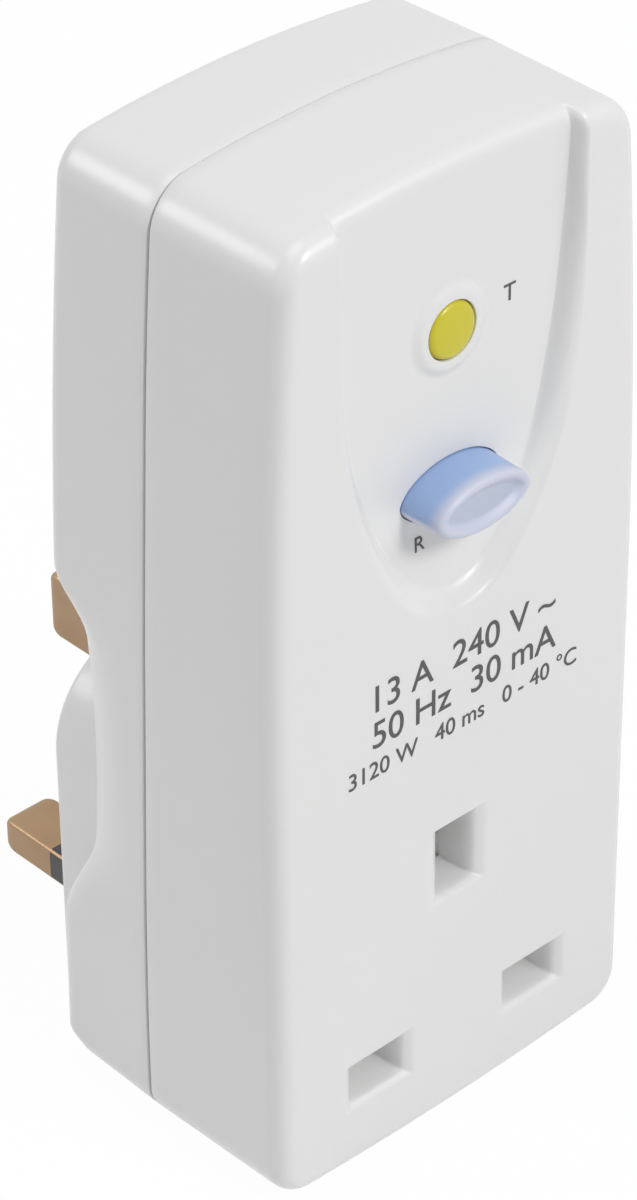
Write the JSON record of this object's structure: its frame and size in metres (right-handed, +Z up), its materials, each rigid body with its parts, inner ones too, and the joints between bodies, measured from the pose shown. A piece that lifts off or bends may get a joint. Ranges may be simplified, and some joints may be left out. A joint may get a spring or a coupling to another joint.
{
  "type": "rcd adapter plug",
  "caption": "Plug-in residual-current adapter with a moulded white case, plug pins behind, a shuttered socket in front, and test and reset buttons in a recess.",
  "frame": {"origin": "on the plug face, midway between the line and neutral pins", "axes": "+Y the way the pins point, out of the plug face; +Z up, towards the earth pin; the front faces -Y"},
  "size_m": [0.0506, 0.0649, 0.1138],
  "materials": {
    "case_white": "satin gloss moulded",
    "pin_brass": "dull plated",
    "sleeve_black": "matt",
    "insulator": "matt",
    "contact_brass": "stamped",
    "shutter_white": "satin",
    "spring_steel": "drawn",
    "core_grey": "coated",
    "copper_wire": "enamelled",
    "board_green": "solder mask",
    "test_yellow": "satin gloss",
    "capacitor_blue": "gloss",
    "chip_black": "matt",
    "reset_blue": "frosted translucent",
    "carriage_grey": "matt"
  },
  "bodies": {
    "case": {"front_cover": "case_white", "rear_cover": "case_white", "earth_pin": "pin_brass", "line_pin": "pin_brass", "neutral_pin": "pin_brass", "line_pin_sleeve": "sleeve_black", "neutral_pin_sleeve": "sleeve_black", "contact_carrier": "insulator", "line_socket_contact": "contact_brass", "neutral_socket_contact": "contact_brass", "earth_socket_contact": "contact_brass", "shutter_spring": "spring_steel", "line_supply_bar": "contact_brass", "neutral_supply_bar": "contact_brass", "line_load_bar": "contact_brass", "neutral_load_bar": "contact_brass", "sensing_core": "core_grey", "sensing_winding": "copper_wire", "circuit_board": "board_green", "trip_bobbin": "insulator", "trip_winding": "copper_wire", "trip_frame": "spring_steel", "plunger_spring": "spring_steel", "latch_pin": "spring_steel", "test_spring": "spring_steel", "test_contact": "contact_brass", "test_resistor": "insulator", "smoothing_capacitor": "capacitor_blue", "control_chip": "chip_black", "reset_spring": "spring_steel", "cover_screws": "spring_steel"},
    "test": {"test_button": "test_yellow"},
    "reset": {"reset_button": "reset_blue", "contact_carriage": "carriage_grey", "line_bridge": "contact_brass", "neutral_bridge": "contact_brass"},
    "shutter": {"safety_shutter": "shutter_white"},
    "plunger": {"trip_plunger": "spring_steel"},
    "latch": {"trip_latch": "spring_steel"}
  },
  "joints": [
    {"name": "test_press", "type": "slide", "parent": "case", "child": "test", "axis": [0, 1, 0], "range_m": [0, 0.0012], "stiffness_N_per_m": 900, "springref_m": -0.002, "deforming": ["test_spring"]},
    {"name": "reset_press", "type": "slide", "parent": "case", "child": "reset", "axis": [0, 1, 0], "range_m": [0, 0.0035], "stiffness_N_per_m": 1500, "springref_m": -0.002, "deforming": ["reset_spring"]},
    {"name": "shutter_drop", "type": "slide", "parent": "case", "child": "shutter", "axis": [0, 0, -1], "range_m": [0, 0.005], "stiffness_N_per_m": 200, "springref_m": -0.004, "deforming": ["shutter_spring"]},
    {"name": "plunger_pull", "type": "slide", "parent": "case", "child": "plunger", "axis": [0, 0, 1], "range_m": [0, 0.0015], "stiffness_N_per_m": 600, "springref_m": -0.002, "deforming": ["plunger_spring"]},
    {"name": "latch_swing", "type": "hinge", "parent": "case", "child": "latch", "pos_m": [0, -0.0107, 0.0746], "axis": [-1, 0, 0], "range_deg": [0, 19.6]}
  ],
  "couplings": [
    {"joint": "latch_swing", "follows": "plunger_pull", "rad_per_m": 228}
  ]
}
